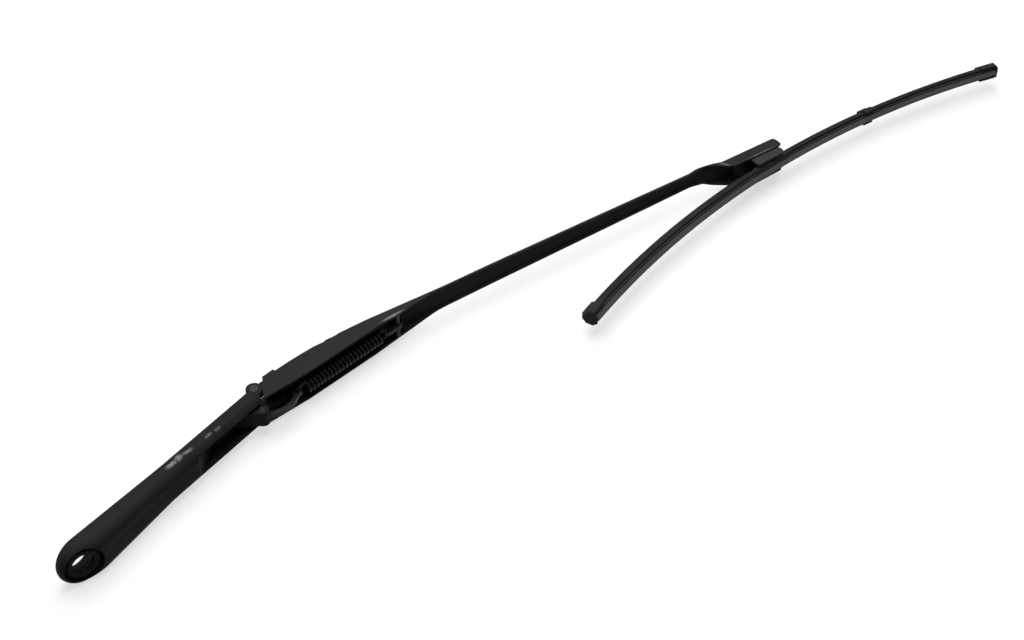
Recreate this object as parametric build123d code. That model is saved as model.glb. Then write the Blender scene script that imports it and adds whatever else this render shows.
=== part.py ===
from build123d import *
import os
from math import atan2, cos, degrees, hypot, radians, sin, tan

# A windscreen wiper arm with a flat blade, at its real size in millimetres.
# The origin is on the spindle axis, +Z points away from the glass and +X along the arm.

# Mounting head, a die casting that sits on the wiper spindle
head_reach = 151.0
head_rise = 57.4
boss_radius = 15.8
boss_top = 9.3
boss_drop = 5.0
neck_start = 70.0
neck_half_width = 12.2
neck_blend = 300.0
boss_end_share = 0.92
neck_depth = 14.2
knuckle_cover = 3.0
head_skin = 2.6
head_wall = 3.4
pocket_start = 94.0
top_edge_round = 3.0
low_edge_round = 6.5
chin_reach = 9.5
chin_blend = 40.0
throat_blend = 100.0
pocket_gap = 1.5
pocket_blend = 9.0

# Spindle seat in the head
spindle_radius = 6.25
spindle_length = 4.0
spindle_mouth_radius = 7.6
collar_radius = 10.4
collar_drop = 2.2
recess_radius = 13.2
nut_seat_radius = 9.5

# Main hinge
knuckle_radius = 5.5
hinge_pin_radius = 2.5
hinge_run_gap = 0.05
knuckle_gap = 0.4
end_edge_deg = 64.0
ear_radius = 5.0
ear_outer = 7.8
ear_gap = 0.4
ear_length = 21.0
rim_drop = 11.2
bush_wall = 0.9
bush_flange_radius = 4.2
bush_flange = 0.7

# Arm, one steel pressing of channel section
sheet = 1.5
channel_pitch_deg = 12.5
channel_knee = 47.4
channel_web_rise = 3.7
channel_blend = 340.0
channel_half_width = 12.2
channel_level = 94.0
rod_start = 158.0
rod_start_half_width = 9.2
rod_end_half_width = 6.1
rod_bend = 199.0
rod_rise = 17.2
rod_lift = 0.7
rod_depth = 3.0
rod_blend = 1500.0
taper_blend = 80.0
goose_run = 18.0
goose_drop = 6.3
goose_blend = 14.0
flare_lead = 8.0
rim_knee = 37.0
rim_pitch_deg = 6.8
rim_blend = 60.0
rod_rim_lead = 8.0
rod_rim_sag = 0.5
box_rim_lead = 4.5
box_rim_blend = 5.5
box_lead = 33.0
box_length = 50.5
box_half_width = 9.4
box_depth = 10.2
box_lip = 4.6
box_front_round = 4.5
box_corner = 1.5
web_edge_round = 2.0

# Spring gear: anchor pin on the head, bowed link, tension spring, hook plate and post
anchor_back = 2.0
anchor_drop = 13.0
anchor_pin_radius = 2.0
tongue_radius = 4.6
tongue_half_width = 5.8
tongue_length = 22.0
link_thickness = 3.0
link_width = 3.2
link_eye_radius = 4.1
link_far_eye_radius = 3.3
link_span = 29.0
link_bow = 6.4
post_reach = 115.0
post_rise = 8.6
post_radius = 1.75
spring_start = 37.0
spring_length = 66.0
spring_radius = 3.85
wire_radius = 1.05
knee_radius = 1.08
coil_turns = 21
loop_radius = 3.2
hook_width = 6.2
hook_thickness = 2.4
hook_wall = 0.9
slot_clearance = 0.35
slot_run = 2.42
slot_tilt_deg = 34.4
pin_clearance = 0.05
loose_clearance = 0.3
eye_clearance = 0.75
post_seat = 0.6

# Blade adapter and its two release tabs
pivot_reach = 436.0
pivot_rise = 2.1
pivot_pin_radius = 2.5
adapter_back = 24.0
adapter_front = 15.0
adapter_depth = 5.6
adapter_lift = 2.5
adapter_corner = 1.0
adapter_front_round = 2.2
adapter_waist = 5.0
cheek_inner = 3.3
cheek_radius = 4.4
box_clearance = 0.2
tab_back = 12.5
tab_length = 27.0
tab_travel = 1.0
tab_thickness = 1.1
tab_pad = 0.9
tab_drop = 9.6
tab_top = 6.4
tab_rim_gap = 1.2
tab_corner = 1.0
tab_toe_corner = 3.0
tab_toe_rise = 1.5
stem_length = 8.0
stem_height = 3.0

# Flat blade, bowed along its length
blade_tilt_deg = 6.5
bow_radius = 749.0
beam_drop = 8.2
heel_length = 220.0
toe_length = 230.0
rail_thickness = 0.9
rail_inner = 1.35
rail_outer = 4.1
rail_gap = 0.2
claw_thickness = 0.85
claw_inner = 3.3
spoiler_half_width = 5.2
spoiler_shoulder = 1.9
spoiler_height = 6.2
shoulder_round = 0.8
fin_half_width = 0.9
fin_root_half_width = 1.8
fin_root_height = 3.3
fin_root_round = 3.0
fin_tip_round = 0.5
edge_round = 0.4
crown_half_width = 3.2
crown_height = 1.7
rubber_neck = 1.1
rubber_body = 3.0
rubber_body_low = 2.3
rubber_hinge = 0.8
rubber_hinge_low = 3.0
rubber_lip_width = 2.2
rubber_lip_step = 0.5
rubber_low = 6.0
rubber_edge = 0.4
base_half_length = 17.0
base_half_width = 5.3
base_height = 2.9
base_gap = 0.4
base_round = 1.0
tower_sink = 1.0
tower_round = 2.0
tower_radius = 3.8
tower_half_width = 3.0
tower_half_length = 8.0
cap_length = 15.0
cap_wall = 0.8
cap_end = 2.6
cap_fit = 0.15
cap_round = 3.0
cap_tongue_half_width = 3.4
cap_tongue_drop = 5.2
clip_place = 103.0
clip_length = 8.5
clip_wall = 0.8

# Derived places in the XZ plane
hinge_x = head_reach
hinge_z = head_rise
anchor_x = hinge_x - anchor_back
anchor_z = hinge_z - anchor_drop
post_x = hinge_x + post_reach
post_z = hinge_z + post_rise
pull_length = hypot(post_x - anchor_x, post_z - anchor_z)
pull_deg = degrees(atan2(post_z - anchor_z, post_x - anchor_x))
pivot_x = hinge_x + pivot_reach
pivot_z = hinge_z + pivot_rise
goose_start = pivot_reach - box_lead - goose_run
rod_top = hinge_z + rod_rise + rod_lift
box_top = rod_top - goose_drop
box_rim = box_top - box_depth
box_start = hinge_x + goose_start + goose_run
box_end = box_start + box_length
wide = 4 * boss_radius


def outline(*corners):
    """A closed face from corners given as (x, y, radius), with round corners as arcs."""
    edges = []
    count = len(corners)
    joints = []
    for index, (x, y, radius) in enumerate(corners):
        before = Vector(*corners[index - 1][:2])
        after = Vector(*corners[(index + 1) % count][:2])
        corner = Vector(x, y)
        to_before = (before - corner).normalized()
        to_after = (after - corner).normalized()
        if radius == 0:
            joints.append((corner, None, corner))
            continue
        half = radians(to_before.get_angle(to_after)) / 2
        reach = radius / tan(half)
        centre = corner + (to_before + to_after).normalized() * (radius / sin(half))
        middle = centre + (corner - centre).normalized() * radius
        joints.append((corner + to_before * reach, middle, corner + to_after * reach))
    for index, (first, middle, last) in enumerate(joints):
        if middle is not None:
            edges.append(ThreePointArc(first, middle, last))
        following = joints[(index + 1) % count][0]
        edges.append(Line(last, following))
    return make_face(edges)


def across(face, inner, outer=None):
    """Extrude a side view along Y: over -inner to +inner, or over both sides from inner to outer."""
    side = Plane.XZ * face
    if outer is None:
        return extrude(side, inner, both=True)
    return extrude(side, outer, both=True) - extrude(side, inner, both=True)


def cross_pin(x, z, radius, half_length):
    """A pin along Y, centred on the part's middle plane."""
    return Pos(x, 0, z) * Rot(90, 0, 0) * Cylinder(radius, 2 * half_length)


def one_side(shape, sign):
    """The part of a shape on one side of the middle plane."""
    size = 4 * (box_end + toe_length)
    return shape & Pos(0, sign * size / 2, 0) * Box(size, size, size)


def head_top(x):
    """Height of the head's top line."""
    return boss_top + (hinge_z + knuckle_cover - boss_top) * x / head_reach


def mounting_head():
    """The cast head: rounded boss, rising neck, hinge fork and the tongue for the spring's anchor."""
    end = -boss_radius - low_edge_round
    side = outline(
        (end, head_top(end), 0),
        (end, -boss_drop, 0),
        (chin_reach, -boss_drop, chin_blend),
        (neck_start, head_top(neck_start) - neck_depth, throat_blend),
        (hinge_x, hinge_z - rim_drop, 0),
        (hinge_x, hinge_z + knuckle_cover, 0),
    )
    half = [
        (-boss_radius, boss_radius, boss_end_share * boss_radius),
        (neck_start, neck_half_width, neck_blend),
        (hinge_x + wide, neck_half_width, 0),
    ]
    plan = outline(*[(x, -y, radius) for x, y, radius in half], *reversed(half))
    body = across(side, wide) & extrude(plan, wide * 2, both=True)
    far_end = hinge_x - pocket_gap
    roof = [face for face in body.faces() if face.normal_at().Z > 0.5][0]
    body = fillet([edge for edge in roof.edges() if edge.center().X < far_end], top_edge_round)
    under = [face for face in body.faces() if face.normal_at().Z < -0.5]
    rim = [edge for face in under for edge in face.edges() if edge.center().X < far_end]
    reach = low_edge_round
    rim = [edge for edge in rim if abs(edge.center().Y) > reach or edge.center().X < -reach]
    body = fillet(rim, low_edge_round)

    # The hinge lugs with their round knuckles
    body += across(Pos(hinge_x, hinge_z) * Circle(knuckle_radius), neck_half_width)

    # The pocket under the neck, open to the glass side and to the hinge
    pocket = outline(
        (pocket_start, head_top(pocket_start) - neck_depth - wide, 0),
        (pocket_start, head_top(pocket_start) - neck_depth, 0),
        (pocket_start + neck_depth, head_top(pocket_start + neck_depth) - head_skin, pocket_blend),
        (hinge_x + wide, head_top(hinge_x + wide) - head_skin, 0),
        (hinge_x + wide, head_top(pocket_start) - neck_depth - wide, 0),
    )
    body -= across(pocket, neck_half_width - head_wall)
    fork_back = hinge_x - knuckle_radius - pocket_gap
    fork = Pos(fork_back + wide / 2, 0, hinge_z) * Box(wide, 2 * (ear_outer + ear_gap), 2 * wide)
    body -= fork

    # The tongue that carries the spring's anchor pin, slotted for the link
    tongue = outline(
        (anchor_x, anchor_z - tongue_radius, 0),
        (anchor_x - tongue_length, head_top(anchor_x - tongue_length) - head_skin / 2, 0),
        (fork_back, head_top(fork_back) - head_skin / 2, 0),
        (fork_back, anchor_z + tongue_radius + loose_clearance, 0),
        (anchor_x, anchor_z + tongue_radius, 0),
    )
    tongue += Pos(anchor_x, anchor_z) * Circle(tongue_radius)
    body += across(tongue, tongue_half_width)
    slot = Pos(anchor_x, anchor_z) * Circle(link_eye_radius + loose_clearance)
    slot += Pos(anchor_x + wide / 2, anchor_z) * Rectangle(wide, 2 * (link_eye_radius + loose_clearance))
    body -= across(slot, link_thickness / 2 + loose_clearance)
    body -= cross_pin(anchor_x, anchor_z, anchor_pin_radius, wide)
    body -= cross_pin(hinge_x, hinge_z, hinge_pin_radius, wide)

    # The spindle seat: open recess, collar, tapered mouth, bore and nut seat
    body -= Pos(0, 0, -wide / 2) * Cylinder(recess_radius, wide)
    body += Pos(0, 0, -collar_drop / 2) * Cylinder(collar_radius, collar_drop)
    body -= Cylinder(spindle_radius, 2 * wide)
    body -= Pos(0, 0, -collar_drop / 2) * Cone(spindle_mouth_radius, spindle_radius, collar_drop)
    body -= Pos(0, 0, spindle_length + wide / 2) * Cylinder(nut_seat_radius, wide)
    return body


def arm_line(shift, front, front_round):
    """Corners of the web line from the hinge to the box, moved down by shift."""
    knee_z = hinge_z + channel_web_rise + channel_knee * tan(radians(channel_pitch_deg))
    back = -2 * knuckle_radius
    return [
        (hinge_x + back, knee_z - (channel_knee - back) * tan(radians(channel_pitch_deg)) - shift, 0),
        (hinge_x + channel_knee, knee_z - shift, channel_blend),
        (hinge_x + rod_bend, hinge_z + rod_rise - shift, rod_blend),
        (hinge_x + goose_start, rod_top - shift, goose_blend),
        (box_start, box_top - shift, goose_blend),
        (front, box_top - shift, front_round),
    ]


def arm_plan(shift, back, front):
    """The arm seen from above, drawn in by shift on both sides."""
    half = [
        (hinge_x + back, channel_half_width, 0),
        (hinge_x + channel_level, channel_half_width, taper_blend),
        (hinge_x + rod_start, rod_start_half_width, taper_blend),
        (hinge_x + goose_start - flare_lead, rod_end_half_width, goose_blend),
        (box_start - flare_lead, box_half_width, goose_blend),
        (front, box_half_width, 0),
    ]
    near = [(x, -width + shift, radius) for x, width, radius in half]
    far = [(x, width - shift, radius) for x, width, radius in reversed(half)]
    return outline(*near, *far)


def arm():
    """The pressed arm: deep channel at the hinge, low tapering rod, gooseneck and box tip."""
    rod_knee_rim = hinge_z + rod_rise - rod_depth
    rim_knee_z = hinge_z - rim_drop + rim_knee * tan(radians(rim_pitch_deg))
    back = -2 * knuckle_radius
    side = outline(
        *arm_line(0, box_end, 0),
        (box_end, box_rim, box_corner),
        (box_start + box_rim_lead, box_rim, box_rim_blend),
        (hinge_x + goose_start + box_rim_lead, rod_top - rod_depth, box_rim_blend),
        (hinge_x + rod_bend, rod_knee_rim, rod_blend),
        (hinge_x + rod_start - rod_rim_lead, rod_knee_rim - rod_rim_sag, rim_blend),
        (hinge_x + rim_knee, rim_knee_z, rim_blend),
        (hinge_x + back, rim_knee_z - (rim_knee - back) * tan(radians(rim_pitch_deg)), 0),
    )
    body = across(side, wide) & Pos(0, 0, hinge_z) * extrude(arm_plan(0, back, box_end), wide, both=True)
    web = [face for face in body.faces() if face.normal_at().Z > 0.3]
    bends = [edge for face in web for edge in face.edges() if abs(edge.center().Y) > rod_end_half_width / 2]
    body = fillet(bends, web_edge_round)
    corner = Pos(box_end, box_top) * Rectangle(2 * box_front_round, 2 * box_front_round)
    corner -= Pos(box_end - box_front_round, box_top - box_front_round) * Circle(box_front_round)
    body -= across(corner, wide)
    low = hinge_z - 2 * wide
    lip = box_top - box_lip
    inner = outline(
        *arm_line(sheet, box_end - sheet, box_front_round - sheet),
        (box_end - sheet, lip, 0),
        (box_end + wide, lip, 0),
        (box_end + wide, low, 0),
        (hinge_x + back, low, 0),
    )
    hollow_plan = arm_plan(sheet, 2 * back, box_end + 2 * wide)
    hollow = across(inner, wide) & Pos(0, 0, hinge_z) * extrude(hollow_plan, 3 * wide, both=True)
    body -= hollow

    # The end of the walls lies close along the head's knuckle
    edge_reach = knuckle_radius + knuckle_gap
    behind = Rot(0, 0, end_edge_deg) * Pos(0, wide - edge_reach) * Rectangle(4 * wide, 2 * wide)
    body -= across(Pos(hinge_x, hinge_z) * behind, wide)

    # The ears, set in from the walls, that turn on the hinge pin between the lugs
    ear_end = edge_reach + 3 * knuckle_gap
    ear = Pos(ear_length / 2, 0) * Rectangle(ear_length, 2 * ear_radius)
    ear = Rot(0, 0, channel_pitch_deg) * (ear + Circle(ear_radius))
    ear_inner = ear_outer - sheet
    body += across(Pos(hinge_x, hinge_z) * ear, ear_inner, ear_outer)
    bridge = Pos((ear_end + ear_length) / 2, 0) * Rectangle(ear_length - ear_end, 2 * ear_radius)
    bridge = Rot(0, 0, channel_pitch_deg) * bridge - behind
    body += across(Pos(hinge_x, hinge_z) * bridge, ear_inner, channel_half_width - sheet / 2)
    body -= cross_pin(hinge_x, hinge_z, hinge_pin_radius + hinge_run_gap + bush_wall, wide)
    body -= spring_post()
    return body


def spring_post():
    """The post across the channel that holds the hook plate, seated in both walls."""
    share = (post_reach - channel_level) / (rod_start - channel_level)
    inner = channel_half_width + (rod_start_half_width - channel_half_width) * share - sheet
    return cross_pin(post_x, post_z, post_radius, inner + post_seat)


def hinge_bush(sign):
    """A flanged bush in one ear, running on the hinge pin."""
    bore = hinge_pin_radius + hinge_run_gap
    ear_inner = ear_outer - sheet
    sleeve = Circle(bore + bush_wall) - Circle(bore)
    flange = Circle(bush_flange_radius) - Circle(bore)
    body = across(Pos(hinge_x, hinge_z) * sleeve, ear_inner, ear_outer)
    body += across(Pos(hinge_x, hinge_z) * flange, ear_inner - bush_flange, ear_inner)
    return one_side(body, sign)


def on_pull_line(shape):
    """Place a side view drawn with the anchor at the origin and the spring's pull along x."""
    return Pos(anchor_x, anchor_z) * Rot(0, 0, pull_deg) * shape


def spring_link():
    """The flat link, bowed so that it passes the hinge pin when the arm is lifted."""
    half_span = link_span / 2
    mean = (half_span ** 2 + link_bow ** 2) / (2 * link_bow)
    ring = Circle(mean + link_width / 2) - Circle(mean - link_width / 2)
    band = Pos(half_span, mean - link_bow) * ring
    band &= Pos(half_span, -mean / 2) * Rectangle(link_span, mean)
    face = band + Circle(link_eye_radius) + Pos(link_span, 0) * Circle(link_far_eye_radius)
    face -= Circle(anchor_pin_radius + pin_clearance)
    face -= Pos(link_span, 0) * Circle(wire_radius + eye_clearance)
    return across(on_pull_line(face), link_thickness / 2)


def on_pull_axis(shape):
    """Place a solid drawn with the anchor at the origin and the spring's pull along X."""
    return Pos(anchor_x, 0, anchor_z) * Rot(0, -pull_deg, 0) * shape


def spring_wire(path):
    """A round wire along a path."""
    return sweep(Plane(path @ 0, z_dir=path % 0) * Circle(wire_radius), path)


def end_loop(eye, coil):
    """The hooked end of the spring: an open loop through the eye with a leg back to the coil."""
    sense = 1 if coil > eye else -1
    centre = eye + sense * loop_radius
    leg = Line((coil, -spring_radius, 0), (centre, -loop_radius, 0))
    bend = ThreePointArc((centre, -loop_radius, 0), (eye, 0, 0), (centre, loop_radius, 0))
    return spring_wire(leg) + Pos(centre, -loop_radius, 0) * Sphere(wire_radius) + spring_wire(bend)


def tension_spring():
    """The tension spring with a hooked loop at each end."""
    pitch = spring_length / coil_turns
    coil_path = Helix(pitch, spring_length, spring_radius)
    coil = Rot(0, 90, 0) * Rot(0, 0, -90) * spring_wire(coil_path)
    body = Pos(spring_start, 0, 0) * coil
    for end in (spring_start, spring_start + spring_length):
        body += Pos(end, -spring_radius, 0) * Sphere(knee_radius)
    body += end_loop(link_span, spring_start)
    body += end_loop(hook_eye(), spring_start + spring_length)
    return on_pull_axis(body)


def hook_eye():
    """Distance along the pull where the spring's far loop holds the hook plate."""
    return spring_start + spring_length + 2 * loop_radius


def spring_hook():
    """The hook plate between the spring and the post, with a slanted slot for the post."""
    hole = post_radius + slot_clearance
    near_end = Pos(pull_length, 0)
    far_end = near_end * Rot(0, 0, slot_tilt_deg) * Pos(slot_run, 0)
    eye = Pos(hook_eye(), 0)
    collar = Circle(hole + hook_wall)
    rounds = [eye * Circle(hook_width / 2), near_end * collar, far_end * collar]
    plate = make_hull([edge for circle in rounds for edge in circle.edges()])
    plate -= make_hull([edge for place in (near_end, far_end) for edge in (place * Circle(hole)).edges()])
    plate -= eye * Circle(wire_radius + eye_clearance)
    return across(on_pull_line(plate), hook_thickness / 2)


def adapter():
    """The moulded adapter: a block that fills the box tip, with two cheeks for the pivot pin."""
    top = box_top - sheet - box_clearance
    low = top - adapter_depth
    back = pivot_x - adapter_back
    front = pivot_x + adapter_front
    block = outline(
        (back, top, 0),
        (back, low + adapter_lift, adapter_corner),
        (back + 2 * adapter_lift, low, adapter_corner),
        (pivot_x + cheek_radius, low, adapter_corner),
        (front, low + adapter_lift, adapter_corner),
        (front, top, adapter_front_round),
    )
    body = across(block, box_half_width - sheet - box_clearance)
    cheek = Pos(pivot_x, pivot_z) * Circle(cheek_radius)
    cheek += Pos(pivot_x, (pivot_z + top) / 2) * Rectangle(2 * cheek_radius, top - pivot_z)
    body += across(cheek, adapter_waist)
    recess_x = pivot_x - tab_back - loose_clearance
    recess = Pos(recess_x + wide / 2, pivot_z + tab_top + loose_clearance - wide / 2) * Rectangle(wide, wide)
    body -= across(recess, adapter_waist, wide)
    body -= across(Pos(pivot_x, pivot_z) * Circle(cheek_radius + base_gap), cheek_inner)
    below = Pos(pivot_x, pivot_z - wide / 2) * Rectangle(wide, wide)
    body -= across(below, cheek_inner)
    body -= cross_pin(pivot_x, pivot_z, pivot_pin_radius + pin_clearance, wide)
    guide = Rectangle(stem_length + 2 * box_clearance, stem_height + 2 * box_clearance)
    guide_end = stem_inner() - tab_travel - box_clearance
    body -= across(Pos(stem_x(), stem_centre()) * guide, guide_end, wide)
    return body


def tab_inner():
    """Distance of a release tab's inner face from the middle plane."""
    return box_half_width - sheet - box_clearance - tab_thickness


def stem_inner():
    """Distance of a tab stem's end from the middle plane."""
    return adapter_waist - tab_travel


def stem_x():
    """Place of the tab stems along the arm, behind the pivot."""
    return pivot_x - tab_back + stem_length / 2 + 2 * box_clearance


def stem_centre():
    """Height of the tab stems."""
    return pivot_z + tab_top - stem_height / 2 - 3 * box_clearance


def release_tab(sign):
    """One release tab: a thin plate beside the adapter, a finger pad below the box and a guide stem."""
    back = pivot_x - tab_back
    top = pivot_z + tab_top
    low = pivot_z - tab_drop
    front = back + tab_length
    inner = tab_inner()
    lower = [(back, low, tab_corner), (front, low + tab_toe_rise, tab_toe_corner)]
    plate = outline((back, top, tab_corner), *lower, (front, top, tab_corner))
    body = across(plate, inner, inner + tab_thickness)
    pad_top = box_rim - tab_rim_gap
    pad = outline((back, pad_top, tab_corner), *lower, (front, pad_top, tab_corner))
    body += across(pad, inner, inner + tab_thickness + tab_pad)
    body += across(Pos(stem_x(), stem_centre()) * Rectangle(stem_length, stem_height), stem_inner(), inner)
    return one_side(body, sign)


def along_blade(section, start, end):
    """Sweep a blade section along the bow, from one distance from the pivot to another."""
    plane = Plane(origin=(0, 0, -beam_drop), x_dir=(0, 1, 0), z_dir=(1, 0, 0))
    axis = Axis((0, 0, -beam_drop - bow_radius), (0, 1, 0))
    face = (plane * section).rotate(axis, degrees(start / bow_radius))
    return revolve(face, axis, degrees((end - start) / bow_radius))


def on_blade(shape):
    """Place a solid drawn with the blade pivot at the origin and the blade level."""
    return Pos(pivot_x, 0, pivot_z) * Rot(0, -blade_tilt_deg, 0) * shape


def mirrored(points):
    """A section outline from its right half, given from the bottom up."""
    left = [(-x, y, radius) for x, y, radius in reversed(points)]
    return outline(*points, *left)


def spoiler_outline(grow):
    """The spoiler's outer section, or the same form drawn out all round."""
    low = -rail_thickness / 2 - rail_gap - claw_thickness
    return mirrored([
        (spoiler_half_width + grow, low - grow, edge_round),
        (spoiler_half_width + grow, spoiler_shoulder + grow / 2, shoulder_round),
        (fin_root_half_width + grow, fin_root_height + grow / 2, fin_root_round),
        (fin_half_width + grow, spoiler_height + grow, fin_tip_round),
    ])


def rail_slot():
    """The space inside the spoiler and the base for the rails and the rubber."""
    half = rail_outer + rail_gap
    low = -rail_thickness / 2 - rail_gap
    slot = Pos(0, (crown_height + rail_gap + low) / 2) * Rectangle(2 * half, crown_height + rail_gap - low)
    mouth = Pos(0, -spoiler_height / 2) * Rectangle(2 * claw_inner, spoiler_height)
    return slot + mouth


def spoiler(start, end):
    """One half of the spoiler, clipped over the rails."""
    return on_blade(along_blade(spoiler_outline(0) - rail_slot(), start, end))


def rail(sign):
    """One spring steel rail, bowed along the blade."""
    width = rail_outer - rail_inner
    face = Pos(sign * (rail_inner + width / 2), 0) * Rectangle(width, rail_thickness)
    return on_blade(along_blade(face, -heel_length + rail_end(), toe_length - rail_end()))


def rail_end():
    """How far the rails and the rubber stop short of the blade's ends."""
    return cap_end + cap_fit


def wiping_rubber():
    """The wiping rubber: crown over the rails, neck between them, body, hinge and lip."""
    clear = rail_thickness / 2 + rail_gap / 2
    face = mirrored([
        (rubber_edge, -rubber_low, 0),
        (rubber_lip_width, -rubber_hinge_low - rubber_lip_step, 0),
        (rubber_lip_width, -rubber_hinge_low, 0),
        (rubber_hinge, -rubber_hinge_low, 0),
        (rubber_hinge, -rubber_body_low, 0),
        (rubber_body, -rubber_body_low, 0),
        (rubber_body, -clear, 0),
        (rubber_neck, -clear, 0),
        (rubber_neck, clear, 0),
        (crown_half_width, clear, 0),
        (crown_half_width, crown_height, 0),
    ])
    return on_blade(along_blade(face, -heel_length + rail_end(), toe_length - rail_end()))


def end_cap(tip, sense):
    """A cap over one end of the blade, open below for the rubber, with a full and rounded end."""
    grow = cap_wall + cap_fit
    inside = tip - sense * cap_end
    back = tip - sense * cap_length
    body = along_blade(spoiler_outline(grow), min(tip, back), max(tip, back))
    body -= along_blade(spoiler_outline(cap_fit), min(inside, back), max(inside, back))
    mouth = Pos(0, -spoiler_height) * Rectangle(2 * claw_inner, 2 * spoiler_height)
    body -= along_blade(mouth, min(inside, back), max(inside, back))
    tongue = Pos(0, -cap_tongue_drop / 2) * Rectangle(2 * cap_tongue_half_width, cap_tongue_drop)
    body += along_blade(tongue, min(tip, inside), max(tip, inside))
    return on_blade(body & cap_form(tip, sense))


def cap_form(tip, sense):
    """The space that gives a cap its rounded end, in side view and from above."""
    top = spoiler_height + cap_wall + cap_fit
    half = spoiler_half_width + cap_wall + cap_fit
    back = -sense * 2 * cap_length
    drop = -cap_tongue_drop
    corners = [(back, drop, 0), (0, drop, cap_round), (0, top, cap_round), (back, top, 0)]
    side = across(outline(*corners), wide)
    plan = outline((back, -half, 0), (0, -half, cap_round), (0, half, cap_round), (back, half, 0))
    form = side & extrude(plan, wide, both=True)
    turn = degrees(tip / bow_radius)
    return Pos(0, 0, -beam_drop - bow_radius) * Rot(0, turn, 0) * Pos(0, 0, bow_radius) * form


def blade_clip():
    """The small clip that holds the spoiler to the rails on the outer half."""
    face = spoiler_outline(clip_wall + cap_fit) - spoiler_outline(cap_fit)
    face -= Pos(0, -spoiler_height) * Rectangle(2 * claw_inner, 2 * spoiler_height)
    return on_blade(along_blade(face, clip_place - clip_length / 2, clip_place + clip_length / 2))


def blade_base():
    """The moulded base clasped on the rails, with the tower that carries the pivot pin."""
    low = -rail_thickness / 2 - rail_gap - claw_thickness - base_gap
    section = mirrored([
        (base_half_width, low, edge_round),
        (base_half_width, base_height, base_round),
    ])
    body = along_blade(section, -base_half_length, base_half_length)
    foot = base_height - beam_drop - tower_sink
    tower = outline(
        (-tower_half_length, foot, 0),
        (tower_half_length, foot, 0),
        (tower_radius, 0, tower_round),
        (-tower_radius, 0, tower_round),
    )
    tower += Circle(tower_radius)
    body += across(tower, tower_half_width)
    body -= along_blade(rail_slot(), -2 * base_half_length, 2 * base_half_length)
    body -= cross_pin(0, 0, pivot_pin_radius, wide)
    return on_blade(body)


heel_tip = -heel_length
toe_tip = toe_length
spoiler_gap = base_half_length + base_gap

parts = {
    "mounting_head": mounting_head(),
    "hinge_pin": cross_pin(hinge_x, hinge_z, hinge_pin_radius, neck_half_width),
    "anchor_pin": cross_pin(anchor_x, anchor_z, anchor_pin_radius, tongue_half_width),
    "arm": arm(),
    "hinge_bush_left": hinge_bush(1),
    "hinge_bush_right": hinge_bush(-1),
    "spring_link": spring_link(),
    "tension_spring": tension_spring(),
    "spring_hook": spring_hook(),
    "spring_post": spring_post(),
    "adapter": adapter(),
    "release_tab_left": release_tab(1),
    "release_tab_right": release_tab(-1),
    "blade_base": blade_base(),
    "pivot_pin": cross_pin(pivot_x, pivot_z, pivot_pin_radius, adapter_waist),
    "rail_left": rail(1),
    "rail_right": rail(-1),
    "wiping_rubber": wiping_rubber(),
    "spoiler_heel": spoiler(heel_tip + rail_end(), -spoiler_gap),
    "spoiler_toe": spoiler(spoiler_gap, toe_tip - rail_end()),
    "end_cap_heel": end_cap(heel_tip, -1),
    "end_cap_toe": end_cap(toe_tip, 1),
    "blade_clip": blade_clip(),
}

os.makedirs("parts", exist_ok=True)
for name, shape in parts.items():
    shape.label = name
    export_step(shape, f"parts/{name}.step")
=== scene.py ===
from math import atan2, cos, hypot, pi, radians, sin

import bpy
from mathutils import Matrix, Vector


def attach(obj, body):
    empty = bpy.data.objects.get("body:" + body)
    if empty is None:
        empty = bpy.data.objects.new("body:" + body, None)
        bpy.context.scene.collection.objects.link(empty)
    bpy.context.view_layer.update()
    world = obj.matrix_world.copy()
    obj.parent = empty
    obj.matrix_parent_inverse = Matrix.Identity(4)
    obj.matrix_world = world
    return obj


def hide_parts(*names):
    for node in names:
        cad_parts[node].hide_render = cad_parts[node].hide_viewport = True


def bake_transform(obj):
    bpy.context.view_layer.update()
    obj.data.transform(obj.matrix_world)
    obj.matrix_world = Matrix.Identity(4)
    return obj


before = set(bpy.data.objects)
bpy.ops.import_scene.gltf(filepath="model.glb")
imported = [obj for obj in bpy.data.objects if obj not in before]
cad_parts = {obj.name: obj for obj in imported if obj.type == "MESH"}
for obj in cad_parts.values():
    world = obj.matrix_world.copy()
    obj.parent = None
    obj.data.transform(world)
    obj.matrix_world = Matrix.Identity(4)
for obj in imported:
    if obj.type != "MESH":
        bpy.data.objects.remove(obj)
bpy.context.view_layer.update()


# Node helpers

def put(tree, kind, **values):
    """Add a node and set its inputs by name and its own settings by attribute."""
    node = tree.nodes.new(kind)
    for name, value in values.items():
        label = name.replace("_", " ")
        if label in node.inputs:
            node.inputs[label].default_value = value
        else:
            setattr(node, name, value)
    return node


def tie(tree, source, target):
    """Link one socket to another."""
    tree.links.new(source, target)


def maths(tree, operation, first, second):
    """A Math node, with sockets or plain numbers as its two terms."""
    node = put(tree, "ShaderNodeMath", operation=operation)
    for slot, term in enumerate((first, second)):
        if isinstance(term, (int, float)):
            node.inputs[slot].default_value = term
        else:
            tie(tree, term, node.inputs[slot])
    return node.outputs[0]


def spread(tree, value, low, high, to_low=0.0, to_high=1.0):
    """A smooth Map Range node."""
    node = put(tree, "ShaderNodeMapRange", interpolation_type="SMOOTHSTEP")
    node.inputs["From Min"].default_value = low
    node.inputs["From Max"].default_value = high
    node.inputs["To Min"].default_value = to_low
    node.inputs["To Max"].default_value = to_high
    tie(tree, value, node.inputs["Value"])
    return node.outputs["Result"]


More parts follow.
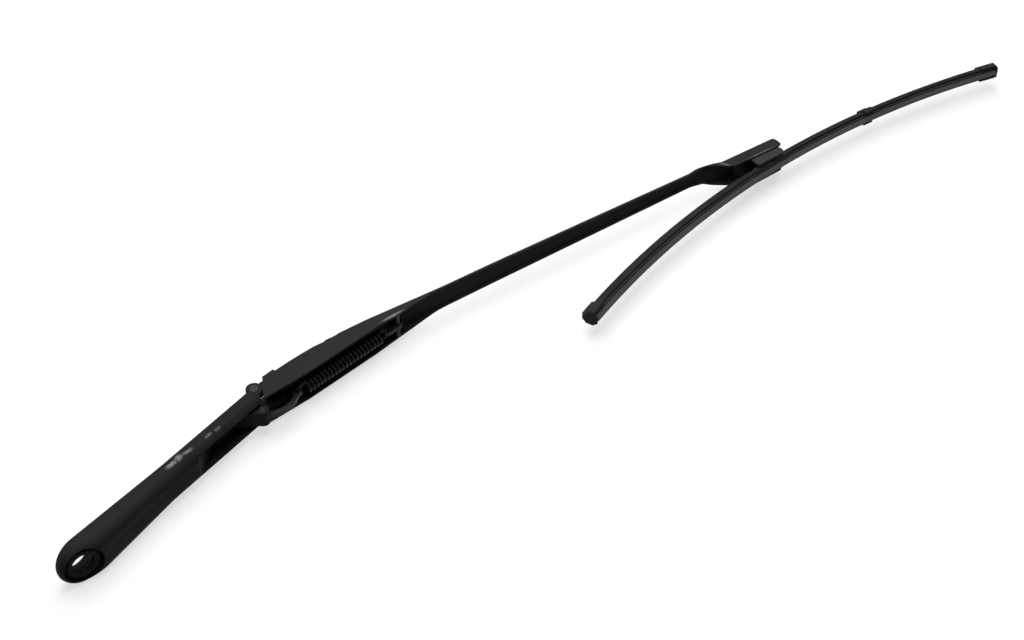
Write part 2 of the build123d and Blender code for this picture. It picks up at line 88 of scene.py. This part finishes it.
def blend_colours(tree, share, first, second):
    """A colour mix, with a socket for the share and sockets or colours for the two ends."""
    node = put(tree, "ShaderNodeMix", data_type="RGBA")
    tie(tree, share, node.inputs["Factor"])
    for name, term in (("A", first), ("B", second)):
        socket = [s for s in node.inputs if s.name == name and s.type == "RGBA"][0]
        if isinstance(term, tuple):
            socket.default_value = (*term, 1.0)
        else:
            tie(tree, term, socket)
    return [s for s in node.outputs if s.type == "RGBA"][0]


def object_noise(tree, detail, roughness):
    """A noise texture on the piece's own coordinates."""
    place = put(tree, "ShaderNodeTexCoord")
    noise = put(tree, "ShaderNodeTexNoise", Detail=detail, Roughness=roughness)
    tie(tree, place.outputs["Object"], noise.inputs["Vector"])
    return noise


def new_group(name, inputs, outputs):
    """A shader node group with float inputs and outputs."""
    group = bpy.data.node_groups.new(name, "ShaderNodeTree")
    sockets = group.interface
    for label, value in inputs:
        socket = sockets.new_socket(label, in_out="INPUT", socket_type="NodeSocketFloat")
        socket.default_value = value
    for label in outputs:
        sockets.new_socket(label, in_out="OUTPUT", socket_type="NodeSocketFloat")
    return group, group.nodes.new("NodeGroupInput"), group.nodes.new("NodeGroupOutput")


# Shared effects

def make_grain_group():
    """Fine paint or moulding grain with broad cloudy variation."""
    inputs = [("Fine Scale", 900.0), ("Broad Scale", 18.0)]
    group, given, made = new_group("surface_grain", inputs, ["Grain", "Cloud"])
    fine = object_noise(group, detail=4.0, roughness=0.6)
    broad = object_noise(group, detail=5.0, roughness=0.62)
    tie(group, given.outputs["Fine Scale"], fine.inputs["Scale"])
    tie(group, given.outputs["Broad Scale"], broad.inputs["Scale"])
    tie(group, fine.outputs["Fac"], made.inputs["Grain"])
    tie(group, spread(group, broad.outputs["Fac"], low=0.3, high=0.7), made.inputs["Cloud"])
    return group


def make_edge_group():
    """A mask of pale outer edges, broken up by noise: rubbed edges, and in the black coat and the
    link steel partly a painted highlight.
    """
    inputs = [("Reach", 0.0006), ("Breakup", 260.0), ("Amount", 0.5)]
    group, given, made = new_group("edge_wear_and_highlight", inputs, ["Worn"])
    soft = put(group, "ShaderNodeBevel", samples=6)
    true = put(group, "ShaderNodeNewGeometry")
    tie(group, given.outputs["Reach"], soft.inputs["Radius"])
    same = put(group, "ShaderNodeVectorMath", operation="DOT_PRODUCT")
    tie(group, soft.outputs["Normal"], same.inputs[0])
    tie(group, true.outputs["Normal"], same.inputs[1])
    edge = spread(group, same.outputs["Value"], low=0.995, high=0.86)
    noise = object_noise(group, detail=6.0, roughness=0.68)
    tie(group, given.outputs["Breakup"], noise.inputs["Scale"])
    patchy = spread(group, noise.outputs["Fac"], low=0.42, high=0.66)
    pale_edges = maths(group, "MULTIPLY", edge, patchy)
    tie(group, maths(group, "MULTIPLY", pale_edges, given.outputs["Amount"]), made.inputs["Worn"])
    return group


def make_dust_group():
    """Dust specks and pale smears."""
    inputs = [("Speck Scale", 420.0), ("Smear Scale", 26.0), ("Amount", 0.3)]
    smear_share = 0.45
    group, given, made = new_group("dust", inputs, ["Dust"])
    place = put(group, "ShaderNodeTexCoord")
    speck = put(group, "ShaderNodeTexVoronoi", feature="F1")
    tie(group, place.outputs["Object"], speck.inputs["Vector"])
    tie(group, given.outputs["Speck Scale"], speck.inputs["Scale"])
    smear = object_noise(group, detail=7.0, roughness=0.7)
    tie(group, given.outputs["Smear Scale"], smear.inputs["Scale"])
    specks = spread(group, speck.outputs["Distance"], low=0.16, high=0.04)
    smears = spread(group, smear.outputs["Fac"], low=0.5, high=0.78)
    dotted = maths(group, "MULTIPLY", specks, smears)
    both = maths(group, "MAXIMUM", dotted, maths(group, "MULTIPLY", smears, smear_share))
    tie(group, maths(group, "MULTIPLY", both, given.outputs["Amount"]), made.inputs["Dust"])
    return group


def make_lines_group():
    """Fine lines drawn along the length, as on an extruded profile."""
    inputs = [("Across Scale", 900.0), ("Along Scale", 9.0)]
    group, given, made = new_group("drawn_lines", inputs, ["Lines"])
    place = put(group, "ShaderNodeTexCoord")
    stretch = put(group, "ShaderNodeCombineXYZ")
    split = put(group, "ShaderNodeSeparateXYZ")
    tie(group, place.outputs["Object"], split.inputs["Vector"])
    for axis, scale in (("X", "Along Scale"), ("Y", "Across Scale"), ("Z", "Along Scale")):
        scaled = maths(group, "MULTIPLY", split.outputs[axis], given.outputs[scale])
        tie(group, scaled, stretch.inputs[axis])
    noise = put(group, "ShaderNodeTexNoise", Scale=1.0, Detail=5.0, Roughness=0.6)
    tie(group, stretch.outputs["Vector"], noise.inputs["Vector"])
    tie(group, noise.outputs["Fac"], made.inputs["Lines"])
    return group


surface_grain = make_grain_group()
edge_wear_and_highlight = make_edge_group()
dust = make_dust_group()
drawn_lines = make_lines_group()


# Kinds of finish

# Pale edge colour of the coat: rubbed edges, and partly a painted highlight along the edges
rubbed_coat_and_highlight = (0.11, 0.108, 0.106)
coat_dust = (0.075, 0.072, 0.07)
# Colour of the pale streaks: the metal where the head's coat is rubbed through, and painted
# highlights on the arm's rims
bare_metal_and_highlight = (0.21, 0.198, 0.188)
rubbed_plastic = (0.06, 0.058, 0.057)
plastic_dust = (0.09, 0.086, 0.083)
steel_sheen = 0.1

# How far the streaks' edges wander along X and Z, and how deep a streak reaches into the metal
ragged_reach = 0.0026
streak_depth = 0.006


def use(tree, group, **values):
    """Place a shared effect in a material."""
    node = tree.nodes.new("ShaderNodeGroup")
    node.node_tree = group
    for name, value in values.items():
        node.inputs[name.replace("_", " ")].default_value = value
    return node


def new_finish(name):
    """A material with its node tree and its Principled BSDF."""
    finish = bpy.data.materials.new(name)
    finish.use_nodes = True
    tree = finish.node_tree
    return finish, tree, tree.nodes["Principled BSDF"]


def shade(tone, share):
    """A darker tone of a colour."""
    return tuple(channel * share for channel in tone)


def soft_normal(tree, shader, height, strength, distance, edge):
    """Bump on top of softened edges, into the shader's normal."""
    soft = put(tree, "ShaderNodeBevel", Radius=edge, samples=6)
    bump = put(tree, "ShaderNodeBump", Strength=strength, Distance=distance)
    tie(tree, height, bump.inputs["Height"])
    tie(tree, soft.outputs["Normal"], bump.inputs["Normal"])
    tie(tree, bump.outputs["Normal"], shader.inputs["Normal"])


def streak_mask(tree, streaks):
    """A mask of ragged streaks: middle, half length, half height, slope and strength of each."""
    place = put(tree, "ShaderNodeTexCoord")
    ragged = put(tree, "ShaderNodeTexNoise", Scale=800.0, Detail=5.0, Roughness=0.7)
    tie(tree, place.outputs["Object"], ragged.inputs["Vector"])
    shift = put(tree, "ShaderNodeVectorMath", operation="MULTIPLY_ADD")
    tie(tree, ragged.outputs["Color"], shift.inputs[0])
    shift.inputs[1].default_value = (ragged_reach, 0.0, ragged_reach)
    shift.inputs[2].default_value = (-ragged_reach / 2, 0.0, -ragged_reach / 2)
    moved = put(tree, "ShaderNodeVectorMath", operation="ADD")
    tie(tree, place.outputs["Object"], moved.inputs[0])
    tie(tree, shift.outputs["Vector"], moved.inputs[1])
    found = None
    for middle, half_length, half_height, slope, strength in streaks:
        own = put(tree, "ShaderNodeMapping", vector_type="TEXTURE")
        own.inputs["Location"].default_value = middle
        own.inputs["Rotation"].default_value = (0.0, -radians(slope), 0.0)
        own.inputs["Scale"].default_value = (half_length, streak_depth, half_height)
        tie(tree, moved.outputs["Vector"], own.inputs["Vector"])
        apart = put(tree, "ShaderNodeVectorMath", operation="LENGTH")
        tie(tree, own.outputs["Vector"], apart.inputs[0])
        spot = spread(tree, apart.outputs["Value"], low=1.0, high=0.2, to_high=strength)
        found = spot if found is None else maths(tree, "MAXIMUM", found, spot)
    broken = spread(tree, ragged.outputs["Fac"], low=0.24, high=0.56)
    return maths(tree, "MULTIPLY", found, broken)


def black_coat(name, tone, rough, sheen, grain_scale, pale_edge_amount, streaks):
    """Black coat on metal: satin grain, pale edges that are partly rubbed and partly a painted
    highlight, dust, and pale streaks: rubs through the coat on the head and painted highlights on
    the arm's rims.
    """
    finish, tree, shader = new_finish(name)
    grain = use(tree, surface_grain, Fine_Scale=grain_scale, Broad_Scale=22.0)
    pale_edges = use(tree, edge_wear_and_highlight, Reach=0.0006, Breakup=240.0, Amount=pale_edge_amount)
    dusty = use(tree, dust, Speck_Scale=520.0, Smear_Scale=30.0, Amount=0.1)
    cloud = grain.outputs["Cloud"]
    colour = blend_colours(tree, cloud, shade(tone, share=0.7), tone)
    # Paler edges: partly rubbed, partly a painted highlight
    colour = blend_colours(tree, pale_edges.outputs["Worn"], colour, rubbed_coat_and_highlight)
    colour = blend_colours(tree, dusty.outputs["Dust"], colour, coat_dust)
    # Pale streaks: rubs through the coat on the head, painted highlights on the arm's rims
    pale_streaks = streak_mask(tree, streaks)
    colour = blend_colours(tree, pale_streaks, colour, bare_metal_and_highlight)
    edge_metal = maths(tree, "MULTIPLY", pale_edges.outputs["Worn"], 0.25)
    streak_metal = maths(tree, "MULTIPLY", pale_streaks, 0.4)
    metal = maths(tree, "MAXIMUM", edge_metal, streak_metal)
    matt = spread(tree, cloud, low=0.0, high=1.0, to_low=rough - 0.05, to_high=rough + 0.07)
    streak_matt = maths(tree, "MULTIPLY", pale_streaks, 0.1)
    matt = maths(tree, "ADD", matt, streak_matt)
    tie(tree, colour, shader.inputs["Base Color"])
    tie(tree, metal, shader.inputs["Metallic"])
    tie(tree, matt, shader.inputs["Roughness"])
    shader.inputs["Specular IOR Level"].default_value = sheen
    bumps = grain.outputs["Grain"]
    soft_normal(tree, shader, bumps, strength=0.16, distance=0.0003, edge=0.0005)
    return finish


def dark_steel(name, tone, bright, rough, metallic):
    """Blackened steel with drawn marks and bright edges: rubbed, and on the link steel partly a
    painted highlight.
    """
    finish, tree, shader = new_finish(name)
    grain = use(tree, surface_grain, Fine_Scale=1500.0, Broad_Scale=90.0)
    pale_edges = use(tree, edge_wear_and_highlight, Reach=0.0004, Breakup=420.0, Amount=0.6)
    bumps = grain.outputs["Grain"]
    colour = blend_colours(tree, grain.outputs["Cloud"], shade(tone, share=0.7), tone)
    colour = blend_colours(tree, pale_edges.outputs["Worn"], colour, bright)
    matt = spread(tree, bumps, low=0.3, high=0.7, to_low=rough - 0.08, to_high=rough + 0.1)
    tie(tree, colour, shader.inputs["Base Color"])
    tie(tree, matt, shader.inputs["Roughness"])
    shader.inputs["Metallic"].default_value = metallic
    shader.inputs["Specular IOR Level"].default_value = steel_sheen
    soft_normal(tree, shader, bumps, strength=0.12, distance=0.0002, edge=0.0003)
    return finish


def moulded_plastic(name, tone, rough, sheen, pale_edge_amount):
    """Black moulded plastic with a fine sparked grain."""
    finish, tree, shader = new_finish(name)
    grain = use(tree, surface_grain, Fine_Scale=2100.0, Broad_Scale=60.0)
    pale_edges = use(tree, edge_wear_and_highlight, Reach=0.0005, Breakup=300.0, Amount=pale_edge_amount)
    dusty = use(tree, dust, Speck_Scale=700.0, Smear_Scale=60.0, Amount=0.12)
    bumps = grain.outputs["Grain"]
    colour = blend_colours(tree, grain.outputs["Cloud"], shade(tone, share=0.75), tone)
    colour = blend_colours(tree, pale_edges.outputs["Worn"], colour, rubbed_plastic)
    colour = blend_colours(tree, dusty.outputs["Dust"], colour, plastic_dust)
    matt = spread(tree, bumps, low=0.25, high=0.75, to_low=rough - 0.07, to_high=rough + 0.09)
    tie(tree, colour, shader.inputs["Base Color"])
    tie(tree, matt, shader.inputs["Roughness"])
    shader.inputs["Specular IOR Level"].default_value = sheen
    soft_normal(tree, shader, bumps, strength=0.22, distance=0.00025, edge=0.0004)
    return finish


def drawn_rubber(name, tone, bloom, rough, sheen, bloom_amount):
    """Extruded rubber with lines along its length and a pale bloom."""
    finish, tree, shader = new_finish(name)
    lines = use(tree, drawn_lines, Across_Scale=1300.0, Along_Scale=14.0)
    grain = use(tree, surface_grain, Fine_Scale=1700.0, Broad_Scale=45.0)
    dusty = use(tree, dust, Speck_Scale=600.0, Smear_Scale=38.0, Amount=bloom_amount)
    cloud = grain.outputs["Cloud"]
    stripes = spread(tree, lines.outputs["Lines"], low=0.32, high=0.68)
    colour = blend_colours(tree, stripes, shade(tone, share=0.72), tone)
    colour = blend_colours(tree, dusty.outputs["Dust"], colour, bloom)
    matt = spread(tree, cloud, low=0.0, high=1.0, to_low=rough - 0.06, to_high=rough + 0.06)
    tie(tree, colour, shader.inputs["Base Color"])
    tie(tree, matt, shader.inputs["Roughness"])
    shader.inputs["Specular IOR Level"].default_value = sheen
    ridges = maths(tree, "MULTIPLY", lines.outputs["Lines"], 0.7)
    pores = maths(tree, "MULTIPLY", grain.outputs["Grain"], 0.3)
    height = maths(tree, "ADD", ridges, pores)
    soft_normal(tree, shader, height, strength=0.2, distance=0.0003, edge=0.0003)
    return finish


# Finishes of this part

# Rubs on the head's side: middle, half length, half height, slope in degrees, strength
head_streaks = [
    ((0.0765, -0.0122, 0.0289), 0.0066, 0.0026, 17.0, 1.0),
    ((0.0828, -0.0122, 0.0313), 0.0044, 0.0032, 34.0, 1.0),
    ((0.0896, -0.0122, 0.0330), 0.0064, 0.0020, 14.0, 0.75),
    ((0.1071, -0.0122, 0.0379), 0.0042, 0.0016, 20.0, 0.6),
    ((0.1147, -0.0122, 0.0395), 0.0038, 0.0018, 20.0, 0.5),
]

# Pale streaks on the arm: one on the channel's rim beside the hook plate, and painted highlights
# along the box tip's rim and the gooseneck's rim
arm_streaks_and_highlights = [
    ((0.2620, -0.0105, 0.0650), 0.0140, 0.0016, 6.4, 1.0),
    ((0.5855, -0.0094, 0.0591), 0.0210, 0.0011, 0.0, 0.6),
    ((0.5538, -0.0094, 0.0642), 0.0056, 0.0014, -55.0, 0.8),
]

head_paint = black_coat(
    "head_paint", tone=(0.0238, 0.0223, 0.0217), rough=0.5, sheen=0.025,
    grain_scale=950.0, pale_edge_amount=0.35, streaks=head_streaks,
)
# The arm's strong pale edges are partly a painted highlight along its edges
arm_paint = black_coat(
    "arm_paint", tone=(0.0275, 0.0275, 0.0290), rough=0.45, sheen=0.025,
    grain_scale=1250.0, pale_edge_amount=0.6, streaks=arm_streaks_and_highlights,
)
pin_steel = dark_steel(
    "pin_steel", tone=(0.03, 0.03, 0.031), bright=(0.12, 0.118, 0.115), rough=0.45, metallic=0.6,
)
# The link's pale edge colour is partly a painted highlight on the link's bow and the hook plate
link_steel = dark_steel(
    "link_steel", tone=(0.022, 0.022, 0.0235), bright=(0.2, 0.2, 0.2), rough=0.44, metallic=0.4,
)
spring_steel = dark_steel(
    "spring_steel", tone=(0.006, 0.006, 0.0066), bright=(0.03, 0.03, 0.03), rough=0.42, metallic=0.4,
)
rail_steel = dark_steel(
    "rail_steel", tone=(0.035, 0.035, 0.037), bright=(0.15, 0.15, 0.15), rough=0.42, metallic=0.7,
)
bush_plastic = moulded_plastic(
    "bush_plastic", tone=(0.02, 0.0195, 0.019), rough=0.5, sheen=0.1, pale_edge_amount=0.1,
)
blade_plastic = moulded_plastic(
    "blade_plastic", tone=(0.021, 0.0203, 0.0199), rough=0.5, sheen=0.06, pale_edge_amount=0.35,
)
tab_plastic = moulded_plastic(
    "tab_plastic", tone=(0.034, 0.0337, 0.0334), rough=0.48, sheen=0.08, pale_edge_amount=0.35,
)
wiping_rubber = drawn_rubber(
    "wiping_rubber", tone=(0.088, 0.0835, 0.0805), bloom=(0.15, 0.142, 0.135),
    rough=0.72, sheen=0.1, bloom_amount=0.35,
)
spoiler_rubber = drawn_rubber(
    "spoiler_rubber", tone=(0.0175, 0.0163, 0.0159), bloom=(0.05, 0.047, 0.046),
    rough=0.55, sheen=0.06, bloom_amount=0.2,
)

finishes = {
    "mounting_head": head_paint,
    "hinge_pin": pin_steel,
    "anchor_pin": pin_steel,
    "arm": arm_paint,
    "hinge_bush_left": bush_plastic,
    "hinge_bush_right": bush_plastic,
    "spring_link": link_steel,
    "tension_spring": spring_steel,
    "spring_hook": link_steel,
    "spring_post": pin_steel,
    "adapter": blade_plastic,
    "release_tab_left": tab_plastic,
    "release_tab_right": tab_plastic,
    "blade_base": blade_plastic,
    "pivot_pin": pin_steel,
    "rail_left": rail_steel,
    "rail_right": rail_steel,
    "wiping_rubber": wiping_rubber,
    "spoiler_heel": spoiler_rubber,
    "spoiler_toe": spoiler_rubber,
    "end_cap_heel": blade_plastic,
    "end_cap_toe": blade_plastic,
    "blade_clip": blade_plastic,
}
for node, finish in finishes.items():
    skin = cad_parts[node].data.materials
    skin.clear()
    skin.append(finish)


# Modelling helpers

def settle():
    """Put the active object's place, turn and scale into its mesh."""
    bpy.ops.object.transform_apply(location=True, rotation=True, scale=True)


def pick(kind, items, wanted):
    """Select only the wanted vertices or faces of the active mesh, and stay in edit mode."""
    bpy.ops.object.mode_set(mode="EDIT")
    bpy.ops.mesh.select_mode(type=kind)
    bpy.ops.mesh.select_all(action="DESELECT")
    bpy.ops.object.mode_set(mode="OBJECT")
    for item in items:
        if wanted(item):
            item.select = True
    bpy.ops.object.mode_set(mode="EDIT")


# The tension spring, wound from one wire with a hooked loop at each end

anchor = Vector((0.149, 0.0, 0.0444))
pull = Vector((0.983382, 0.0, 0.181546))
coil_start = 0.037
coil_length = 0.066
coil_radius = 0.00385
coil_turns = 21
coil_steps = 588
wire_radius = 0.00105
wire_sides = 12
knee_bend = 0.0016
knee_steps = 6
loop_radius = 0.0032
loop_turn = 1.1 * pi
loop_steps = 20
hook_reach = 0.0064
link_reach = 0.008
merge_gap = 0.00002

# The coil stops short of the spring's middle plane by this angle,
# so that the bent wire comes out in that plane
short_by = atan2(knee_bend, coil_radius)
leg_out = hypot(coil_radius, knee_bend)
leg_shares = (0.15, 0.35, 0.35, 0.15)


def hook_end(sense, height, reach):
    """Bend the picked wire end out of the coil, along the pull, and round into an open hook."""
    outward = Vector((cos(short_by), -sense * sin(short_by), 0.0))
    knee = outward * coil_radius + Vector((0.0, 0.0, height + sense * knee_bend))
    bpy.ops.mesh.spin(steps=knee_steps, angle=-pi / 2, center=knee, axis=outward)
    rise = sense * (reach - loop_radius - knee_bend) / len(leg_shares)
    for share in leg_shares:
        step = (share * (loop_radius - leg_out), 0.0, rise)
        bpy.ops.mesh.extrude_region_move(TRANSFORM_OT_translate={"value": step})
    turn = (0.0, 0.0, height + sense * (reach - loop_radius))
    bpy.ops.mesh.spin(steps=loop_steps, angle=sense * loop_turn, center=turn, axis=(0.0, 1.0, 0.0))
    bpy.ops.mesh.edge_face_add()


def make_spring():
    """One wire: the close coil first, then a hooked loop at each end."""
    bpy.ops.object.select_all(action="DESELECT")
    bpy.ops.mesh.primitive_circle_add(
        vertices=wire_sides,
        radius=wire_radius,
        location=(coil_radius * cos(short_by), coil_radius * sin(short_by), 0.0),
        rotation=(radians(90), 0.0, short_by),
    )
    spring = bpy.context.object
    spring.name = "wound_spring"
    settle()
    winding = spring.modifiers.new("winding", "SCREW")
    winding.axis = "Z"
    winding.angle = 2 * (coil_turns * pi - short_by)
    winding.screw_offset = coil_length
    winding.steps = coil_steps
    winding.render_steps = coil_steps
    bpy.ops.object.modifier_apply(modifier="winding")
    last_ring = len(spring.data.vertices) - wire_sides
    pick("VERT", spring.data.vertices, lambda point: point.index >= last_ring)
    hook_end(1, coil_length, hook_reach)
    pick("VERT", spring.data.vertices, lambda point: point.index < wire_sides)
    hook_end(-1, 0.0, link_reach)
    bpy.ops.mesh.select_all(action="SELECT")
    bpy.ops.mesh.remove_doubles(threshold=merge_gap)
    bpy.ops.mesh.normals_make_consistent(inside=False)
    bpy.ops.object.mode_set(mode="OBJECT")
    coil_foot = anchor + pull * coil_start
    side = Vector((0.0, -1.0, 0.0))
    turn = Matrix((side, pull.cross(side), pull)).transposed()
    spring.matrix_world = Matrix.Translation(coil_foot) @ turn.to_4x4()
    settle()
    # Spin adds its faces in no fixed order, so they are sorted to give the same mesh each run
    bpy.ops.object.mode_set(mode="EDIT")
    bpy.ops.mesh.sort_elements(type="CURSOR_DISTANCE", elements={"VERT", "EDGE", "FACE"})
    bpy.ops.object.mode_set(mode="OBJECT")
    bpy.ops.object.shade_smooth_by_angle(angle=radians(50))
    spring.data.materials.append(spring_steel)
    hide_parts("tension_spring")
    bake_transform(spring)


make_spring()


# Peened ends of the hinge pin

hinge = Vector((0.151, 0.0, 0.0574))
lug_face = 0.0122
pin_end_radius = 0.0032
pin_end_depth = 0.0006
pin_end_sides = 40
pin_end_edge = 0.00012
outward_limit = 0.9

# Width and rise of the rim, the crown and the punched hollow
pin_end_steps = [(0.0007, 0.00022), (0.0008, 0.00008), (0.0005, -0.0003)]


def make_pin_end(name, side):
    """A low peened end on the hinge pin: a rim, a raised crown and a punched hollow."""
    bpy.ops.object.select_all(action="DESELECT")
    bpy.ops.mesh.primitive_cylinder_add(
        vertices=pin_end_sides,
        radius=pin_end_radius,
        depth=pin_end_depth,
        location=hinge + Vector((0.0, side * lug_face, 0.0)),
        rotation=(radians(90), 0.0, 0.0),
    )
    end = bpy.context.object
    end.name = name
    settle()
    pick("FACE", end.data.polygons, lambda face: face.normal.y * side > outward_limit)
    for width, rise in pin_end_steps:
        bpy.ops.mesh.inset(thickness=width, depth=rise)
    bpy.ops.object.mode_set(mode="OBJECT")
    edge = end.modifiers.new("soft_edge", "BEVEL")
    edge.width = pin_end_edge
    edge.segments = 2
    edge.limit_method = "ANGLE"
    edge.angle_limit = radians(25)
    bpy.ops.object.modifier_apply(modifier="soft_edge")
    bpy.ops.object.shade_smooth_by_angle(angle=radians(40))
    end.data.materials.append(pin_steel)
    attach(end, "head")


make_pin_end("pin_end_left", 1)
make_pin_end("pin_end_right", -1)


# The seam of the casting die under the head

seam_length = 0.0700
seam_width = 0.0011
seam_middle = 0.0565
seam_wall = 0.0005
ridge_half_width = 0.0002
ridge_proud = 0.00025
edge_sunk = 0.0001
below_head = -0.06


def make_seam():
    """The fine seam that the casting die leaves along the middle of the head's underside."""
    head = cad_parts["mounting_head"]
    bpy.ops.object.select_all(action="DESELECT")
    bpy.ops.mesh.primitive_grid_add(
        x_subdivisions=60, y_subdivisions=2, size=1.0, location=(0.0, 0.0, 0.0)
    )
    seam = bpy.context.object
    seam.name = "casting_seam"
    bpy.ops.object.mode_set(mode="EDIT")
    bpy.ops.mesh.select_all(action="SELECT")
    bpy.ops.transform.resize(value=(seam_length, seam_width, 1.0))
    bpy.ops.transform.translate(value=(seam_middle, 0.0, 0.0))
    bpy.ops.object.mode_set(mode="OBJECT")
    for point in seam.data.vertices:
        start = Vector((point.co.x, point.co.y, below_head))
        _, surface, _, _ = head.ray_cast(start, Vector((0.0, 0.0, 1.0)))
        proud = ridge_proud if abs(point.co.y) < ridge_half_width else -edge_sunk
        point.co.z = surface.z - proud
    wall = seam.modifiers.new("depth", "SOLIDIFY")
    wall.thickness = seam_wall
    wall.offset = 1.0
    bpy.ops.object.modifier_apply(modifier="depth")
    bpy.ops.object.mode_set(mode="EDIT")
    bpy.ops.mesh.select_all(action="SELECT")
    bpy.ops.mesh.normals_make_consistent(inside=False)
    bpy.ops.object.mode_set(mode="OBJECT")
    bpy.ops.object.shade_smooth_by_angle(angle=radians(20))
    seam.data.materials.append(head_paint)
    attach(seam, "head")


make_seam()


# The stage: a white table on the part's +Y side, camera and lamps

table_y = 0.0154
table_up = Vector((0.0, -1.0, 0.0))
table_right = Vector((0.8171, 0.0, -0.5765))
table_away = Vector((0.5765, 0.0, 0.8171))
table_middle = Vector((0.3327, table_y, 0.0252))
table_span = 24.0

# The table's own tone where it is seen, and the darker one that it throws back on the part
table_tone = (0.42, 0.42, 0.42)
bounce_tone = (0.2, 0.2, 0.2)

camera_place = Vector((-0.198569, -0.859318, -0.7278))
camera_right = Vector((0.817099, 0.0, -0.576498))
camera_up = Vector((0.393171, -0.731354, 0.55726))
camera_back = Vector((-0.421624, -0.681998, -0.597588))
camera_lens = 64.898
camera_sensor = 36.0
camera_far = 60.0

# Each lamp's name, its place and its aim along the table's directions, its size and its power
lamps = [
    ("soft_box_above", (-0.1, 0.2, 1.6), (0.0, 0.0, 0.0), 1.5, 25.0),
    ("soft_box_far_side", (0.0, 1.35, 1.25), (0.0, 0.0, 0.0), 0.7, 7.0),
    ("soft_box_head_end", (-1.35, 0.55, 0.75), (-0.25, -0.2, 0.0), 0.8, 3.5),
    ("soft_box_behind_table", (0.0, 0.2, -1.7), (0.0, 0.0, 0.0), 1.4, 14.0),
]
surround_light = 0.1


def on_table(right, away, up):
    """A point given along the table's own directions from the middle of the view."""
    return table_middle + table_right * right + table_away * away + table_up * up


def seen_ray(tree, path):
    """1 for the rays that show the background: from the camera, through glass and off metal."""
    seen = maths(tree, "MAXIMUM", path.outputs["Is Camera Ray"], path.outputs["Is Transmission Ray"])
    return maths(tree, "MAXIMUM", seen, path.outputs["Is Glossy Ray"])


def make_table():
    """The white table top: seen only from its upper side, and no screen for the lamp behind it."""
    bpy.ops.object.select_all(action="DESELECT")
    bpy.ops.mesh.primitive_plane_add(
        size=table_span, location=table_middle, rotation=(radians(90), 0.0, 0.0)
    )
    table = bpy.context.object
    table.name = "table_top"
    paper, tree, shader = new_finish("white_table")
    tree.nodes.remove(shader)
    path = put(tree, "ShaderNodeLightPath")
    seen = seen_ray(tree, path)
    matt = put(tree, "ShaderNodeBsdfDiffuse")
    tie(tree, blend_colours(tree, seen, bounce_tone, table_tone), matt.inputs["Color"])
    place = put(tree, "ShaderNodeTexCoord")
    apart = put(tree, "ShaderNodeVectorMath", operation="LENGTH")
    tie(tree, place.outputs["Object"], apart.inputs[0])
    white = spread(tree, apart.outputs["Value"], low=0.3, high=2.4, to_low=0.64, to_high=1.0)
    glow = put(tree, "ShaderNodeEmission", Color=(1.0, 1.0, 1.0, 1.0))
    tie(tree, maths(tree, "MULTIPLY", seen, white), glow.inputs["Strength"])
    both = put(tree, "ShaderNodeAddShader")
    tie(tree, matt.outputs[0], both.inputs[0])
    tie(tree, glow.outputs[0], both.inputs[1])
    clear = put(tree, "ShaderNodeBsdfTransparent")
    side = put(tree, "ShaderNodeNewGeometry")
    hidden = maths(tree, "MAXIMUM", side.outputs["Backfacing"], path.outputs["Is Shadow Ray"])
    choose = put(tree, "ShaderNodeMixShader")
    tie(tree, hidden, choose.inputs["Fac"])
    tie(tree, both.outputs[0], choose.inputs[1])
    tie(tree, clear.outputs[0], choose.inputs[2])
    tie(tree, choose.outputs[0], tree.nodes["Material Output"].inputs["Surface"])
    table.data.materials.append(paper)


def make_camera():
    """The camera at the photograph's place, in the part's frame."""
    data = bpy.data.cameras.new("camera")
    data.sensor_width = camera_sensor
    data.lens = camera_lens
    data.clip_end = camera_far
    camera = bpy.data.objects.new("camera", data)
    bpy.context.scene.collection.objects.link(camera)
    turn = Matrix((camera_right, camera_up, camera_back)).transposed()
    camera.matrix_world = Matrix.Translation(camera_place) @ turn.to_4x4()
    bpy.context.scene.camera = camera


def make_lamp(name, place, target, size, power):
    """A square soft lamp aimed at a point."""
    data = bpy.data.lights.new(name, "AREA")
    data.shape = "SQUARE"
    data.size = size
    data.energy = power
    lamp = bpy.data.objects.new(name, data)
    bpy.context.scene.collection.objects.link(lamp)
    lamp.location = place
    lamp.rotation_mode = "QUATERNION"
    lamp.rotation_quaternion = (target - place).to_track_quat("-Z", "Y")


def make_world():
    """A plain surround: white where it is seen, and a softer light from above the table only."""
    world = bpy.data.worlds.new("surround")
    bpy.context.scene.world = world
    world.use_nodes = True
    tree = world.node_tree
    back = tree.nodes["Background"]
    back.inputs["Color"].default_value = (1.0, 1.0, 1.0, 1.0)
    seen = seen_ray(tree, put(tree, "ShaderNodeLightPath"))
    place = put(tree, "ShaderNodeTexCoord")
    parts = put(tree, "ShaderNodeSeparateXYZ")
    tie(tree, place.outputs["Generated"], parts.inputs["Vector"])
    above = spread(tree, parts.outputs["Y"], low=0.1, high=-0.2, to_high=surround_light)
    tie(tree, maths(tree, "MAXIMUM", seen, above), back.inputs["Strength"])


make_table()
make_camera()
for name, place, aim, size, power in lamps:
    make_lamp(name, on_table(*place), on_table(*aim), size, power)
make_world()

bpy.context.scene.view_settings.view_transform = "Standard"
